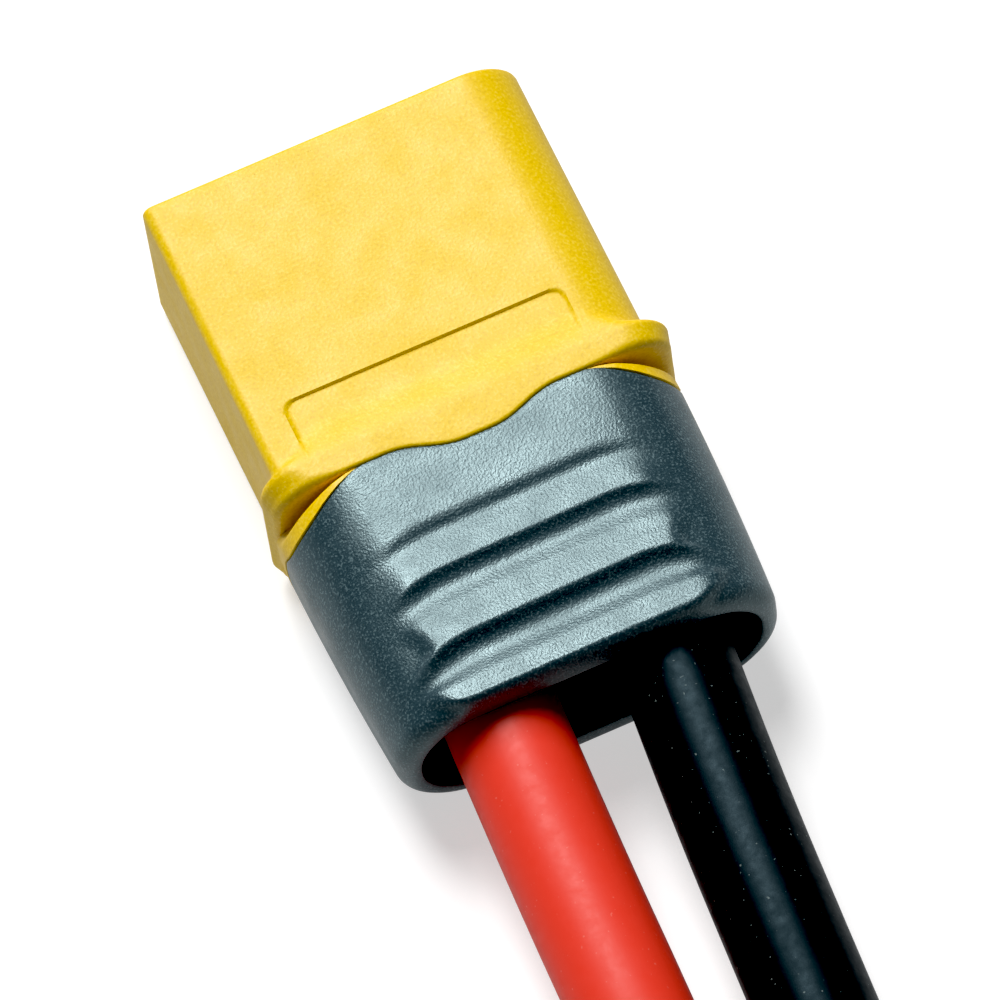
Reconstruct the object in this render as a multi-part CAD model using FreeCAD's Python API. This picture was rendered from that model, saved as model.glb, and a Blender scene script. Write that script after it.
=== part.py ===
"""Two-pole power connector, plug half, with its slide-on boot and two silicone wires.

Units are millimetres. +X runs from the positive pole's square end to the negative pole's round end,
+Y points out of the mating mouth, +Z is up. The connector lies on one wide face, and the origin is
on the surface it lies on, under the middle of the connector without its wires.
"""
import FreeCAD, Part
import math
import os

os.makedirs("parts", exist_ok=True)
Vector = FreeCAD.Vector

# Shroud: the hollow yellow end that the mating half slides into
shroud_width = 16.0
shroud_height = 8.15
shroud_length = 12.95
shroud_wall = 1.1
square_corner = 0.45
round_corner = 2.45
mouth_depth = 10.6
mouth_lead_in = 0.25

# Flange: the thin plate between shroud and boot
flange_thickness = 1.15
flange_rise_side = 0.68
flange_rise_face = 0.15
flange_square_corner = 1.2
flange_round_corner = 1.8
flange_side_draft = 0.15
flange_rear_round = 0.35

# Recessed blank plate on the upper face, just ahead of the flange
plate_width = 11.85
plate_offset_x = -0.5
plate_length = 2.65
plate_depth = 0.12
plate_corner = 0.5

# Boundary between housing and boot, seen from above: a wave in the middle, the sides cut back
wave_depth = 0.74
wave_crest_half = 1.0
wave_foot_half = 3.0
wave_round = 3.6
side_cut_start = 5.0
side_cut_end = 7.35
side_cut_depth = 1.5
side_cut_round = 1.2
parting_gap = 0.08

# Tongue of the boot that reaches forward between the lips at each narrow side, seen from the side
tongue_reach = 1.1
tongue_front_half = 0.5
tongue_foot_half = 2.2
tongue_round = 0.6

# Flared lip that meets the boot at the narrow sides, with a scooped groove ahead of it
lip_width = 0.6
scoop_depth = 0.95

# Boot: the grey sleeve over the soldered joints
boot_length = 11.25
boot_width = 16.9
boot_face_step = 0.025
boot_corner = 3.0
boot_rear_width = 16.1
boot_rear_height = 6.9
boot_wall = 0.85
boot_rear_round = 0.75
boot_shift_x = -0.15
opening_width = 14.4

# Grip bars on both wide faces of the boot: start, crest and end along the boot, crest's rise
# above the boot's own face, and half the bar's width
grip_bars = [
    (0.2, 3.0, 3.4, 0.20, 5.2),
    (3.9, 4.9, 5.5, 0.31, 5.5),
    (6.15, 7.8, 8.5, 0.47, 6.0),
    (9.3, 10.6, 10.9, 0.48, 6.4),
]
bar_end_slope = 1.1
bar_sink = 0.3

# Spigot: the block behind the flange that holds the contacts and carries the boot
spigot_length = 4.9
spigot_clearance = 0.2

# Contacts: one-piece turned pins with a solder cup at the rear
contact_pitch = 7.2
pin_diameter = 3.5
pin_length = 8.7
pin_tip_round = 0.7
slot_width = 0.45
slot_length = 6.2
slot_turn = 45.0
shank_diameter = 4.2
shank_proud = 0.3
cup_diameter = 4.4
cup_length = 4.2
cup_wall = 0.55
cup_floor = 0.6
cup_window = 1.1

# Wires: silicone insulation over tinned copper, bare and tinned at the far end
wire_diameter = 4.7
conductor_diameter = 2.6
conductor_end_gap = 0.1
insulation_gap = 0.3
bare_end_length = 5.0
wire_clearance = 0.25

# Places along the axis that follow from the sizes above
total_length = shroud_length + flange_thickness + boot_length
mouth_y = total_length / 2
flange_front_y = mouth_y - shroud_length
flange_rear_y = flange_front_y - flange_thickness
boot_rear_y = flange_rear_y - boot_length
mouth_floor_y = mouth_y - mouth_depth
spigot_rear_y = flange_rear_y - spigot_length
cup_mouth_y = spigot_rear_y - cup_length
insulation_y = cup_mouth_y - insulation_gap
flange_width = shroud_width + 2 * flange_rise_side
flange_height = shroud_height + 2 * flange_rise_face
boot_height = flange_height - 2 * boot_face_step
mid_z = flange_height / 2
opening_height = wire_diameter + 2 * wire_clearance
FAR = 2 * flange_width


def rounded_edges(points, radii):
    """Straight runs through the points, with a tangent arc of its radius at each inner point."""
    edges = []
    here = points[0]
    for before, point, after, radius in zip(points, points[1:], points[2:], radii):
        back = (before - point).normalize()
        ahead = (after - point).normalize()
        half_turn = (math.pi - back.getAngle(ahead)) / 2
        reach = radius * math.tan(half_turn)
        start = point + back * reach
        end = point + ahead * reach
        inward = (back + ahead).normalize()
        middle = point + inward * (radius / math.cos(half_turn) - radius)
        if (start - here).Length > 1e-6:
            edges.append(Part.LineSegment(here, start).toShape())
        edges.append(Part.Arc(start, middle, end).toShape())
        here = end
    edges.append(Part.LineSegment(here, points[-1]).toShape())
    return edges


def section(width, height, left_radius, right_radius, y, x=0.0):
    """A closed rounded rectangle in the plane at y, its corners rounder at the right."""
    left = x - width / 2
    right = x + width / 2
    low = mid_z - height / 2
    high = mid_z + height / 2
    corners = [Vector(left, y, low), Vector(right, y, low), Vector(right, y, high), Vector(left, y, high)]
    radii = [left_radius, right_radius, right_radius, left_radius]
    start = Vector(x, y, low)
    loop = [start] + corners[1:] + corners[:1] + [start]
    return Part.Wire(rounded_edges(loop, radii[1:] + radii[:1]))


def prism(width, height, left_radius, right_radius, front_y, rear_y, x=0.0):
    """A straight block of that section from front_y back to rear_y."""
    face = Part.Face(section(width, height, left_radius, right_radius, front_y, x))
    return face.extrude(Vector(0, rear_y - front_y, 0))


def taper(front, rear):
    """A solid between two sections."""
    return Part.makeLoft([front, rear], True, True)


def plan_block(edges):
    """The area inside the edges, seen from above, through the whole height."""
    face = Part.Face(Part.Wire(edges))
    return face.extrude(Vector(0, 0, 2 * flange_height)).translated(Vector(0, 0, -flange_height / 2))


def parting_block(gap):
    """Everything ahead of the line where housing and boot meet, moved back by the gap."""
    side_y = flange_rear_y - side_cut_depth - gap
    face_y = flange_rear_y - gap
    wave_y = face_y - wave_depth
    half = [(side_cut_end, side_y, side_cut_round), (side_cut_start, face_y, side_cut_round),
            (wave_foot_half, face_y, wave_round), (wave_crest_half, wave_y, wave_round)]
    line = [(-x, y, radius) for x, y, radius in half] + half[::-1]
    points = [Vector(-FAR, side_y, 0)] + [Vector(x, y, 0) for x, y, radius in line]
    points.append(Vector(FAR, side_y, 0))
    edges = rounded_edges(points, [radius for x, y, radius in line])
    corners = [Vector(FAR, side_y, 0), Vector(FAR, flange_front_y, 0), Vector(-FAR, flange_front_y, 0),
               Vector(-FAR, side_y, 0)]
    for start, end in zip(corners, corners[1:]):
        edges.append(Part.LineSegment(start, end).toShape())
    return plan_block(edges)


def side_tongue(side, gap):
    """The boot's tongue at one narrow side: narrow at its front, smaller all round by the gap."""
    slope = (tongue_foot_half - tongue_front_half) / tongue_reach
    front_y = flange_rear_y - side_cut_depth + tongue_reach - gap
    length = tongue_reach + side_cut_depth
    front_half = tongue_front_half + slope * gap - gap * math.hypot(1, slope)
    rear_half = front_half + slope * length
    rear_y = front_y - length
    points = [Vector(0, rear_y, -rear_half), Vector(0, front_y, -front_half), Vector(0, front_y, front_half),
              Vector(0, rear_y, rear_half)]
    radius = min(tongue_round, front_half)
    edges = rounded_edges(points, [radius, radius])
    edges.append(Part.LineSegment(points[-1], points[0]).toShape())
    start_x = boot_width / 2 - 2 * boot_wall
    face = Part.Face(Part.Wire(edges)).translated(Vector(side * start_x, 0, mid_z))
    return face.extrude(Vector(side * FAR, 0, 0))


def boot_outside():
    """The boot's outer form, still whole at the front."""
    front = section(boot_width, boot_height, boot_corner, boot_corner, flange_rear_y, boot_shift_x)
    rear_corner = min(boot_corner, 0.47 * boot_rear_height)
    rear = section(boot_rear_width, boot_rear_height, rear_corner, rear_corner, boot_rear_y, boot_shift_x)
    return taper(front, rear)


def boot_inside():
    """The boot's hollow, from the front face to the oblong opening at the rear."""
    width = boot_width - 2 * boot_wall
    height = boot_height - 2 * boot_wall
    radius = boot_corner - boot_wall
    front = section(width, height, radius, radius, flange_rear_y, boot_shift_x)
    rear_radius = 0.47 * opening_height
    rear = section(opening_width, opening_height, rear_radius, rear_radius, boot_rear_y, boot_shift_x)
    return taper(front, rear)


def boot_half_height(distance):
    """Half the boot's height at a distance behind its front."""
    share = distance / boot_length
    return boot_height / 2 + share * (boot_rear_height - boot_height) / 2


def grip_bar(start, crest, end, rise, half_width, side):
    """One bar: a ramp up to its crest, a flat top, a step down, and sloping ends."""
    def point(distance, lift):
        height = boot_half_height(distance) + lift
        return Vector(0, flange_rear_y - distance, mid_z + side * height)
    outline = [point(start, -bar_sink), point(start, 0), point(crest, rise), point(end, rise),
               point(end + rise / 2, -bar_sink)]
    profile = Part.Face(Part.makePolygon(outline + outline[:1]))
    ramp = profile.extrude(Vector(2 * half_width, 0, 0)).translated(Vector(boot_shift_x - half_width, 0, 0))
    low = boot_half_height(end) - 2 * bar_sink
    high = boot_half_height(start) + rise
    inset = bar_end_slope * (high - low)
    ends = [Vector(-half_width, 0, side * low), Vector(half_width, 0, side * low),
            Vector(half_width - inset, 0, side * high), Vector(-half_width + inset, 0, side * high)]
    trapezium = Part.Face(Part.makePolygon(ends + ends[:1]))
    place = Vector(boot_shift_x, flange_rear_y, mid_z)
    sloped = trapezium.extrude(Vector(0, -1.2 * boot_length, 0)).translated(place)
    return ramp.common(sloped)


def make_boot():
    """Grey sleeve: tapered outside with grip bars, hollow inside, front edge cut to the parting line."""
    outside = boot_outside()
    rear_edges = [edge for edge in outside.Edges
                  if abs(edge.BoundBox.YMax - boot_rear_y) < 1e-4]
    outside = outside.makeFillet(boot_rear_round, rear_edges)
    for start, crest, end, rise, half_width in grip_bars:
        for side in (-1, 1):
            outside = outside.fuse(grip_bar(start, crest, end, rise, half_width, side))
    front = parting_block(parting_gap)
    for side in (-1, 1):
        front = front.cut(side_tongue(side, parting_gap))
    return outside.cut(boot_inside()).cut(front).removeSplitter()


def scoop(side):
    """The groove behind the flange at one narrow side and the room for the tongue, outside the core."""
    start_x = side_cut_start + lip_width * (side_cut_end - side_cut_start) / side_cut_depth
    groove_y = flange_rear_y - side_cut_depth + lip_width
    points = [Vector(side * start_x, flange_rear_y, 0), Vector(side * side_cut_end, groove_y, 0),
              Vector(side * FAR, groove_y, 0), Vector(side * FAR, flange_rear_y, 0)]
    edges = [Part.LineSegment(a, b).toShape() for a, b in zip(points, points[1:] + points[:1])]
    radius = boot_corner - scoop_depth
    core = prism(boot_width - 2 * scoop_depth, boot_height - 2 * scoop_depth, radius, radius,
                 flange_front_y, boot_rear_y, boot_shift_x)
    return plan_block(edges).fuse(side_tongue(side, 0)).cut(core)


def spigot_block():
    """The block behind the flange, smaller than the boot's hollow by the clearance."""
    share = spigot_length / boot_length
    inner_height = boot_height - 2 * boot_wall
    height = inner_height + share * (opening_height - inner_height) - 2 * spigot_clearance
    inner_width = boot_width - 2 * boot_wall
    width = inner_width + share * (opening_width - inner_width)
    width = width - 2 * abs(boot_shift_x) - 2 * spigot_clearance
    radius = boot_corner - boot_wall - spigot_clearance
    radius = min(radius, 0.47 * height)
    return prism(width, height, radius, radius, flange_front_y, spigot_rear_y)


def contact_bore(x):
    """The hole in the housing that grips one contact's shank."""
    base = Vector(x, spigot_rear_y, mid_z)
    return Part.makeCylinder(shank_diameter / 2, mouth_floor_y - spigot_rear_y, base, Vector(0, 1, 0))


def plate_recess():
    """The shallow rounded recess on the upper face."""
    left = plate_offset_x - plate_width / 2
    right = plate_offset_x + plate_width / 2
    rear = flange_front_y
    front = flange_front_y + plate_length
    points = [Vector(left, rear, 0), Vector(left, front, 0), Vector(right, front, 0), Vector(right, rear, 0)]
    edges = rounded_edges(points, [plate_corner, plate_corner])
    edges.append(Part.LineSegment(points[-1], points[0]).toShape())
    face = Part.Face(Part.Wire(edges))
    floor_z = mid_z + shroud_height / 2 - plate_depth
    return face.extrude(Vector(0, 0, 2 * plate_depth)).translated(Vector(0, 0, floor_z))


def make_housing():
    """Yellow moulding: shroud, flange, parting wave, flared lips and spigot in one piece."""
    body = prism(shroud_width, shroud_height, square_corner, round_corner, mouth_y, flange_rear_y)
    front = section(flange_width, flange_height, flange_square_corner, flange_round_corner, flange_front_y)
    rear = section(flange_width - 2 * flange_side_draft, flange_height, flange_square_corner,
                   flange_round_corner, flange_rear_y)
    flange = taper(front, rear)
    rear_rim = [edge for edge in flange.Edges if abs(edge.BoundBox.YMax - flange_rear_y) < 1e-4]
    flange = flange.makeFillet(flange_rear_round, rear_rim)
    collar = boot_outside().common(parting_block(0.0))
    body = body.fuse([flange, collar, spigot_block()])
    for side in (-1, 1):
        body = body.cut(scoop(side))
    width = shroud_width - 2 * shroud_wall
    height = shroud_height - 2 * shroud_wall
    inner_round = round_corner - shroud_wall
    mouth = prism(width, height, square_corner, inner_round, mouth_y, mouth_floor_y)
    flare_front = section(width + 2 * mouth_lead_in, height + 2 * mouth_lead_in, square_corner,
                          inner_round + mouth_lead_in, mouth_y)
    flare_rear = section(width, height, square_corner, inner_round, mouth_y - mouth_lead_in)
    body = body.cut([mouth, taper(flare_front, flare_rear), plate_recess()])
    for side in (-1, 1):
        body = body.cut(contact_bore(side * contact_pitch / 2))
    return body.removeSplitter()


def make_contact(x):
    """One turned contact: split pin, shank held by the housing, solder cup with a side window."""
    axis = Vector(0, 1, 0)
    tip_y = mouth_floor_y + pin_length
    pin = Part.makeCylinder(pin_diameter / 2, pin_length, Vector(x, mouth_floor_y, mid_z), axis)
    tip = [edge for edge in pin.Edges if abs(edge.BoundBox.YMin - tip_y) < 1e-4]
    pin = pin.makeFillet(pin_tip_round, tip)
    shank_length = mouth_floor_y + shank_proud - spigot_rear_y
    shank = Part.makeCylinder(shank_diameter / 2, shank_length, Vector(x, spigot_rear_y, mid_z), axis)
    cup = Part.makeCylinder(cup_diameter / 2, cup_length, Vector(x, cup_mouth_y, mid_z), axis)
    contact = pin.fuse([shank, cup])
    contact = contact.cut(solder_pool(x))
    reach = 2 * pin_diameter
    for turn in (slot_turn, slot_turn + 90):
        slot = Part.makeBox(slot_width, 2 * slot_length, reach,
                            Vector(x - slot_width / 2, tip_y - slot_length, mid_z - reach / 2))
        slot.rotate(Vector(x, 0, mid_z), axis, turn)
        contact = contact.cut(slot)
    window = Part.makeBox(cup_diameter, cup_length - cup_floor, cup_diameter,
                          Vector(x - cup_diameter / 2, cup_mouth_y, mid_z + cup_diameter / 2 - cup_window))
    return contact.cut(window).removeSplitter()


def solder_pool(x):
    """The hollow of one solder cup."""
    depth = cup_length - cup_floor
    return Part.makeCylinder(cup_diameter / 2 - cup_wall, depth, Vector(x, cup_mouth_y, mid_z), Vector(0, 1, 0))


def conductor_start_y():
    """Where a conductor ends inside its cup, just short of the cup's floor."""
    return cup_mouth_y + cup_length - cup_floor - conductor_end_gap


def make_solder(x):
    """Solder that fills one cup around the conductor, flush with the cup's window."""
    depth = conductor_start_y() - cup_mouth_y
    core = Part.makeCylinder(conductor_diameter / 2, depth, Vector(x, cup_mouth_y, mid_z), Vector(0, 1, 0))
    window = Part.makeBox(cup_diameter, cup_length, cup_diameter,
                          Vector(x - cup_diameter / 2, cup_mouth_y, mid_z + cup_diameter / 2 - cup_window))
    return solder_pool(x).cut(core).cut(window)


# Free routes of the two wires behind the connector, as points on the wire's axis
lying_z = wire_diameter / 2
red_route = [
    Vector(-3.75, -18.0, mid_z),
    Vector(-3.95, -27.5, mid_z - 0.12),
    Vector(-4.6, -40.5, 3.05),
    Vector(-6.4, -55.0, lying_z + 0.05),
    Vector(-9.6, -71.0, lying_z),
    Vector(-11.4, -88.0, lying_z),
    Vector(-10.9, -102.0, lying_z),
]
black_route = [
    Vector(3.2, -17.5, mid_z),
    Vector(2.5, -27.0, mid_z - 0.12),
    Vector(1.7, -41.0, 3.0),
    Vector(1.9, -56.5, lying_z + 0.05),
    Vector(3.7, -73.0, lying_z),
    Vector(6.9, -89.0, lying_z),
    Vector(8.2, -103.5, lying_z),
]


def wire_points(x, route):
    """A wire's whole route, from the mouth of its solder cup to its far end."""
    return [Vector(x, insulation_y, mid_z)] + route


def wire_radii(points):
    """The largest arc that each pair of runs allows."""
    radii = []
    for before, point, after in zip(points, points[1:], points[2:]):
        shorter = min((before - point).Length, (after - point).Length)
        half_turn = (math.pi - (before - point).getAngle(after - point)) / 2
        radii.append(0.45 * shorter / math.tan(half_turn))
    return radii


def sweep(points, radius):
    """A round solid along straight runs joined by tangent arcs."""
    path = Part.Wire(rounded_edges(points, wire_radii(points)))
    direction = points[1] - points[0]
    circle = Part.Wire(Part.makeCircle(radius, points[0], direction))
    tube = path.makePipeShell([circle], True, False)
    flaw = tube.Volume / (math.pi * radius ** 2 * path.Length) - 1
    print("  length %.1f mm, volume off by %.4f" % (path.Length, flaw))
    return tube


def make_insulation(x, route):
    """Silicone sleeve along the free route, hollow for its conductor."""
    points = wire_points(x, route)
    print("  bend radii", [round(radius, 1) for radius in wire_radii(points)])
    outside = sweep(points, wire_diameter / 2)
    inside = sweep(points, conductor_diameter / 2)
    return outside.cut(inside)


def make_conductor(x, route):
    """Tinned copper core: in the cup, through the sleeve and bare past its far end."""
    points = wire_points(x, route)
    core = sweep(points, conductor_diameter / 2)
    stub_length = conductor_start_y() - insulation_y
    stub = Part.makeCylinder(conductor_diameter / 2, stub_length, points[0], Vector(0, 1, 0))
    outward = (points[-1] - points[-2]).normalize()
    bare = Part.makeCylinder(conductor_diameter / 2, bare_end_length, points[-1], outward)
    tip = [edge for edge in bare.Edges if (edge.CenterOfMass - points[-1]).Length > bare_end_length - 0.01]
    bare = bare.makeFillet(0.2 * conductor_diameter, tip)
    return core.fuse([stub, bare]).removeSplitter()


def export(name, shape):
    """Check one piece and write its STEP file."""
    print("%-22s solids %d valid %s volume %.1f" % (name, len(shape.Solids), shape.isValid(), shape.Volume))
    shape.exportStep("parts/" + name + ".step")


pole_x = contact_pitch / 2
export("housing", make_housing())
export("boot", make_boot())
export("positive_contact", make_contact(-pole_x))
export("negative_contact", make_contact(pole_x))
export("positive_solder", make_solder(-pole_x))
export("negative_solder", make_solder(pole_x))
export("red_insulation", make_insulation(-pole_x, red_route))
export("black_insulation", make_insulation(pole_x, black_route))
export("red_conductor", make_conductor(-pole_x, red_route))
export("black_conductor", make_conductor(pole_x, black_route))
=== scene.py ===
"""Dressed model of a two-pole battery power plug with its slide-on boot and two silicone leads.

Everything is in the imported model's frame: +X runs from the positive pole's square end to the negative
pole's round end, +Y points out of the mating mouth and +Z is up. Sizes are written in millimetres.
The two mouldings are laid out in rings that run once round the connector: "back" is the distance
behind the mouth's rim, and heights count from the connector's middle plane.
"""

from __future__ import annotations

import logging
import math
from dataclasses import dataclass, field, replace
from enum import Enum
from typing import Any, Sequence

import bpy
import numpy as np
from mathutils import Matrix, Vector

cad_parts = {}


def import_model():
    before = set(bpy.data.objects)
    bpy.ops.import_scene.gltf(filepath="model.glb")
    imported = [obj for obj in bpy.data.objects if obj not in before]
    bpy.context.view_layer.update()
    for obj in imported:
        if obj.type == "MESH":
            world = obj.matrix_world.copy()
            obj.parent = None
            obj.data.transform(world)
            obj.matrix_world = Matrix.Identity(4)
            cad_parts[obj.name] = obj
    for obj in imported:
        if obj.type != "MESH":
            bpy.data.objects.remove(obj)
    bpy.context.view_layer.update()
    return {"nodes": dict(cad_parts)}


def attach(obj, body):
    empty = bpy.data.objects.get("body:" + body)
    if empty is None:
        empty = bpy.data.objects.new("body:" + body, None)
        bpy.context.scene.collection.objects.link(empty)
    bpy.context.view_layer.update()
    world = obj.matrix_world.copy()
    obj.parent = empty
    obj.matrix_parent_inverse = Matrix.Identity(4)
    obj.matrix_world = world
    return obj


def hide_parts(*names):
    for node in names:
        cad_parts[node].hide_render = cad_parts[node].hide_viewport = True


# The frame is in metres. The mouth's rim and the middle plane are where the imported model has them.
MM = 0.001
MOUTH_Y = 12.675
MIDDLE_Z = 4.225
# Spacing of an eased line's points, least corner radius, and distance under which points are welded.
EASE_GRID = 0.01
LEAST_RADIUS = 0.02
WELD_DISTANCE = 0.002
# Values that a noise pattern mostly lies between.
PATTERN_SPAN = (0.3, 0.7)
LOG = logging.getLogger("connector")

Number = float | np.ndarray
Table = tuple[tuple[float, float], ...]


def linear(code: str) -> tuple[float, float, float, float]:
    """Turn an sRGB hex colour into the linear colour that the shaders take.

    Args:
        code: Six hex digits after a hash sign.

    Returns:
        Linear red, green, blue and an alpha of 1.
    """
    parts = [int(code[i : i + 2], 16) / 255 for i in (1, 3, 5)]
    low = [p / 12.92 if p <= 0.04045 else ((p + 0.055) / 1.055) ** 2.4 for p in parts]
    return (low[0], low[1], low[2], 1.0)


def add_node(
    tree: bpy.types.NodeTree, kind: str, inputs: dict[str | int, Any] | None = None, **settings: Any
) -> Any:
    """Add one shader node with its settings, its values and its links.

    Args:
        tree: Node tree of the material or world.
        kind: Blender's name of the node type.
        inputs: Socket name or number, and the value or the output socket that feeds it.
        **settings: Properties of the node itself.

    Returns:
        The new node.
    """
    node = tree.nodes.new(kind)
    for name, value in settings.items():
        setattr(node, name, value)
    for socket, value in (inputs or {}).items():
        if isinstance(value, bpy.types.NodeSocket):
            tree.links.new(value, node.inputs[socket])
        else:
            node.inputs[socket].default_value = value
    return node


def new_material(name: str) -> tuple[bpy.types.Material, bpy.types.NodeTree, bpy.types.NodeSocket]:
    """Start a material with an empty tree.

    Args:
        name: Name of the material.

    Returns:
        The material, its tree and the socket of its Object coordinates.
    """
    material = bpy.data.materials.new(name)
    material.use_nodes = True
    tree = material.node_tree
    tree.nodes.clear()
    return material, tree, add_node(tree, "ShaderNodeTexCoord").outputs["Object"]


def noise(tree: bpy.types.NodeTree, place: Any, size_mm: float, detail: float, roughness: float = 0.5) -> Any:
    """A noise pattern whose grains are about a size apart."""
    inputs = {"Vector": place, "Scale": 1 / (size_mm * MM), "Detail": detail, "Roughness": roughness}
    return add_node(tree, "ShaderNodeTexNoise", inputs).outputs["Fac"]


def mapped(tree: bpy.types.NodeTree, value: Any, start: Sequence[float], end: Sequence[float]) -> Any:
    """Carry a value from one span to another and hold it at that one's ends."""
    inputs = {"Value": value, "From Min": start[0], "From Max": start[1], "To Min": end[0], "To Max": end[1]}
    return add_node(tree, "ShaderNodeMapRange", inputs).outputs["Result"]


def mixed(tree: bpy.types.NodeTree, factor: Any, first: Any, second: Any) -> Any:
    """Mix two colours by a factor."""
    inputs = {"Factor": factor, 6: first, 7: second}
    return add_node(tree, "ShaderNodeMix", inputs, data_type="RGBA").outputs[2]


def close_tree(tree: bpy.types.NodeTree, height: Any, relief_mm: float, inputs: dict[str, Any]) -> None:
    """End a material in a principled shader with a bumped skin.

    Args:
        tree: Node tree of the material.
        height: Pattern that raises the skin.
        relief_mm: How far it does.
        inputs: Every other value that the shader takes.
    """
    bump = add_node(tree, "ShaderNodeBump", {"Height": height, "Distance": relief_mm * MM, "Strength": 1.0})
    shader = add_node(tree, "ShaderNodeBsdfPrincipled", {**inputs, "Normal": bump.outputs["Normal"]})
    add_node(tree, "ShaderNodeOutputMaterial", {"Surface": shader.outputs["BSDF"]})


def eased(x: Number, table: Sequence[tuple[float, float]], width: float) -> np.ndarray:
    """Read a broken line whose corners are rounded over a width.

    Args:
        x: Where to read it.
        table: The broken line's corners, in rising order of their first value.
        width: Length over which each corner is rounded.

    Returns:
        The eased line's values at x.
    """
    corners = np.array(table, float)
    grid = np.arange(corners[0, 0] - width, corners[-1, 0] + width, EASE_GRID)
    values = np.interp(grid, corners[:, 0], corners[:, 1])
    count = max(1, int(round(width / EASE_GRID)))
    padded = np.pad(values, count, mode="edge")
    smooth = np.convolve(padded, np.full(count, 1 / count), mode="same")[count:-count]
    return np.interp(x, grid, smooth)


def lower_of(first: Number, second: Number, ease: float) -> np.ndarray:
    """The lower of two surfaces, with the crease between them rounded over a height of ease."""
    share = np.clip(0.5 + 0.5 * (np.asarray(second) - first) / ease, 0, 1)
    return second * (1 - share) + first * share - ease * share * (1 - share)


def step(x: Number, start: float, end: float) -> np.ndarray:
    """A smooth rise from 0 at start to 1 at end."""
    share = np.clip((np.asarray(x) - start) / (end - start), 0, 1)
    return share * share * (3 - 2 * share)


class Pole(Enum):
    """The two poles, by the names that the CAD nodes have for them."""

    POSITIVE = "positive"
    NEGATIVE = "negative"


class Weave(Enum):
    """How a ring skin closes at its two ends."""

    CAPPED = "a pole at each end"
    LOOPED = "the last ring meets the first"


@dataclass(frozen=True)
class Outline:
    """A rounded oblong across the connector, its corners rounder or sharper at either end.

    Attributes:
        half_width: Half its width along X.
        half_height: Half its height along Z.
        left: Corner radius at the -X end.
        right: Corner radius at the +X end.
        shift: X of its middle.
    """

    half_width: Number
    half_height: Number
    left: Number
    right: Number
    shift: float = 0.0

    def inset(self, depth: float) -> Outline:
        """The same outline moved inwards by a depth."""
        return replace(
            self,
            half_width=self.half_width - depth,
            half_height=self.half_height - depth,
            left=max(self.left - depth, LEAST_RADIUS),
            right=max(self.right - depth, LEAST_RADIUS),
        )

    def towards(self, other: Outline, share: float) -> Outline:
        """An outline between this one and another."""
        mixed = {
            name: (1 - share) * getattr(self, name) + share * getattr(other, name)
            for name in ("half_width", "half_height", "left", "right", "shift")
        }
        return Outline(**mixed)


@dataclass(frozen=True)
class Columns:
    """Where the points of every ring stand: even in X on the wide faces, even along the outline at the ends.

    Attributes:
        face: Number of steps across a wide face.
        end: Number of steps round a narrow end.
        reach: Distance from the middle at which a wide face hands over to an end.
    """

    face: int = 134
    end: int = 96
    reach: float = 6.7

    @property
    def count(self) -> int:
        """Points in one ring."""
        return 2 * (self.face + self.end)

    def parts(self) -> tuple[np.ndarray, np.ndarray]:
        """The part of the ring that each point is on, and its share of it.

        Returns:
            0 for the top, 1 for the right, 2 for below and 3 for the left, and shares from 0 to 1.
        """
        part = np.repeat([0, 1, 2, 3], [self.face, self.end, self.face, self.end])
        share = np.concatenate([np.arange(n) / n for n in (self.face, self.end, self.face, self.end)])
        return part, share

    @property
    def upper(self) -> np.ndarray:
        """True for the points on the upper wide face."""
        return self.parts()[0] == 0

    @property
    def wide(self) -> np.ndarray:
        """True for the points on either wide face."""
        return self.parts()[0] % 2 == 0

    def ring(self, outline: Outline, inset: Number = 0.0) -> tuple[np.ndarray, np.ndarray]:
        """Points of one ring on an outline.

        Args:
            outline: The outline that the ring follows.
            inset: How far inside it the ring lies, one number or one for each point.

        Returns:
            X and height of each point.
        """
        part, share = self.parts()
        inset = np.broadcast_to(np.asarray(inset, float), part.shape)
        side = np.where(part == 3, -1.0, 1.0)
        run = np.where(part == 0, -self.reach + 2 * self.reach * share, self.reach - 2 * self.reach * share)
        side = np.where(part % 2 == 0, np.where(run < outline.shift, -1.0, 1.0), side)
        radius = np.maximum(np.where(side < 0, outline.left, outline.right) - inset, LEAST_RADIUS)
        half_width = outline.half_width - inset
        half_height = outline.half_height - inset
        corner_x = side * outline.shift + half_width - radius
        corner_z = half_height - radius

        over = np.clip(side * run - corner_x, 0, radius)
        face_z = corner_z + np.sqrt(radius**2 - over**2)

        flat = np.maximum(corner_x - self.reach, 0)
        first = np.arcsin(np.clip((self.reach - corner_x) / radius, 0, 1))
        arc = radius * (math.pi / 2 - first)
        total = 2 * flat + 2 * arc + 2 * np.maximum(corner_z, 0)
        along = total * share
        near = np.minimum(along, total - along)
        turn = first + np.clip(near - flat, 0, arc) / radius
        end_x = np.where(near < flat, self.reach + near, corner_x + radius * np.sin(turn))
        end_z = np.where(near < flat, half_height, corner_z + radius * np.cos(turn))
        end_z = np.where(near > flat + arc, corner_z - (near - flat - arc), end_z)
        half = np.where(along < total / 2, 1.0, -1.0) * np.where(part == 3, -1.0, 1.0)

        wide = part % 2 == 0
        x = np.where(wide, run, side * end_x)
        z = np.where(wide, face_z * np.where(part == 0, 1.0, -1.0), half * end_z)
        return x, z


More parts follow.
